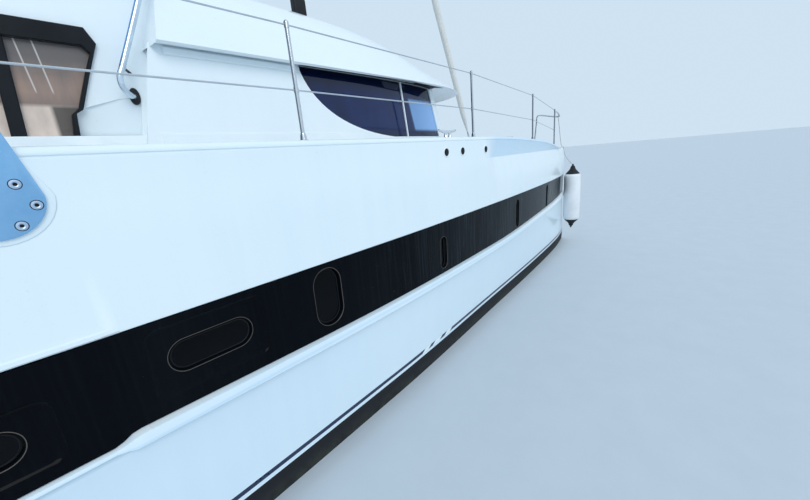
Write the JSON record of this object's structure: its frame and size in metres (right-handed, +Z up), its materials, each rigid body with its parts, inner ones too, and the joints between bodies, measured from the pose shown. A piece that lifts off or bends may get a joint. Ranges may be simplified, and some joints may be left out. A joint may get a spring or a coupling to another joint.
{
  "type": "sailing catamaran",
  "caption": "Cruising sailing catamaran with slab-sided hulls, a wide saloon under a flybridge and hardtop, a mast with boom and furled headsail, rails, keels, rudders and saildrives.",
  "frame": {"origin": "on the centreline amidships, at the height of the waterline", "axes": "+X forward to the bows, +Y to port, +Z up"},
  "size_m": [15.965, 7.986, 21.64],
  "materials": {
    "gelcoat": "white gelcoat, glossy",
    "nonskid": "pale deck with a fine grip texture",
    "black_band": "glossy black topside band",
    "antifouling": "matt black antifouling",
    "tinted_glass": "dark tinted pane",
    "stainless": "polished stainless steel",
    "wire": "stainless wire rope",
    "aluminium": "satin anodised spar",
    "sailcloth": "folded sailcloth",
    "cushion": "grey woven cushions",
    "bronze": "cast bronze",
    "teak": "weathered teak boards",
    "fender": "white inflatable fender with black ends"
  },
  "bodies": {
    "boat": {"hull_starboard": "gelcoat", "hull_port": "gelcoat", "topside_band_starboard": "black_band", "topside_band_port": "black_band", "keel_starboard": "antifouling", "keel_port": "antifouling", "saildrive_starboard": "antifouling", "saildrive_port": "antifouling", "chainplate_starboard": "stainless", "chainplate_port": "stainless", "cap_shroud_starboard": "wire", "cap_shroud_port": "wire", "guard_rail_starboard": "stainless", "guard_rail_port": "stainless", "grab_rail_starboard": "stainless", "grab_rail_port": "stainless", "cleat_forward_starboard": "stainless", "cleat_forward_port": "stainless", "forward_window_starboard": "tinted_glass", "forward_window_port": "tinted_glass", "aft_window_starboard": "tinted_glass", "aft_window_port": "tinted_glass", "bridgedeck": "gelcoat", "foredeck": "nonskid", "saloon_house": "gelcoat", "front_window_centre": "tinted_glass", "front_window_starboard": "tinted_glass", "front_window_port": "tinted_glass", "flybridge_roof": "gelcoat", "hardtop": "gelcoat", "mast": "aluminium", "bowsprit": "aluminium", "furled_headsail": "sailcloth", "anchor": "stainless", "windlass": "stainless", "forward_cockpit_cushion": "cushion", "aft_platform": "teak", "aft_bench": "cushion", "aft_door": "gelcoat", "aft_door_glass": "tinted_glass", "galley_counter": "gelcoat", "saloon_settee": "cushion", "saloon_table": "teak", "helm_console": "gelcoat", "helm_seat": "cushion", "flybridge_sofa": "cushion", "fender": "fender"},
    "boom": {"boom": "aluminium", "mainsail_bag": "sailcloth"},
    "wheel": {"helm_wheel": "stainless"},
    "ladder": {"swim_ladder": "stainless"},
    "rudder_starboard": {"rudder_starboard": "antifouling"},
    "propeller_starboard": {"propeller_starboard": "bronze"},
    "hatch_starboard": {"hatch_lid_starboard": "tinted_glass"},
    "locker_starboard": {"locker_lid_starboard": "nonskid"},
    "rudder_port": {"rudder_port": "antifouling"},
    "propeller_port": {"propeller_port": "bronze"},
    "hatch_port": {"hatch_lid_port": "tinted_glass"},
    "locker_port": {"locker_lid_port": "nonskid"}
  },
  "joints": [
    {"name": "boom_swing", "type": "hinge", "parent": "boat", "child": "boom", "pos_m": [0.99, 0, 5.8], "axis": [0, 0, 1], "range_deg": [-55, 55]},
    {"name": "wheel_turn", "type": "hinge", "parent": "boat", "child": "wheel", "pos_m": [-0.47, -1.5, 4.18], "axis": [1, 0, 0], "range_deg": [-450, 450]},
    {"name": "ladder_fold", "type": "hinge", "parent": "boat", "child": "ladder", "pos_m": [-7.04, -1.2, 0.8], "axis": [0, -1, 0], "range_deg": [0, 255]},
    {"name": "rudder_turn_starboard", "type": "hinge", "parent": "boat", "child": "rudder_starboard", "pos_m": [-6.35, -3.15, -0.3], "axis": [0, 0, 1], "range_deg": [-35, 35]},
    {"name": "propeller_spin_starboard", "type": "hinge", "parent": "boat", "child": "propeller_starboard", "pos_m": [-4.95, -3.15, -0.84], "axis": [1, 0, 0], "continuous": true},
    {"name": "hatch_open_starboard", "type": "hinge", "parent": "boat", "child": "hatch_starboard", "pos_m": [4.56, -3.08, 2.214], "axis": [0, 1, 0], "range_deg": [0, 100]},
    {"name": "locker_open_starboard", "type": "hinge", "parent": "boat", "child": "locker_starboard", "pos_m": [5.42, -1.15, 2.126], "axis": [0, -1, 0], "range_deg": [0, 85]},
    {"name": "rudder_turn_port", "type": "hinge", "parent": "boat", "child": "rudder_port", "pos_m": [-6.35, 3.15, -0.3], "axis": [0, 0, 1], "range_deg": [-35, 35]},
    {"name": "propeller_spin_port", "type": "hinge", "parent": "boat", "child": "propeller_port", "pos_m": [-4.95, 3.15, -0.84], "axis": [1, 0, 0], "continuous": true},
    {"name": "hatch_open_port", "type": "hinge", "parent": "boat", "child": "hatch_port", "pos_m": [4.56, 3.08, 2.214], "axis": [0, 1, 0], "range_deg": [0, 100]},
    {"name": "locker_open_port", "type": "hinge", "parent": "boat", "child": "locker_port", "pos_m": [5.42, 1.15, 2.126], "axis": [0, -1, 0], "range_deg": [0, 85]}
  ],
  "couplings": [
    {"joint": "rudder_turn_starboard", "follows": "wheel_turn", "ratio": 0.0777},
    {"joint": "rudder_turn_port", "follows": "wheel_turn", "ratio": 0.0777}
  ]
}
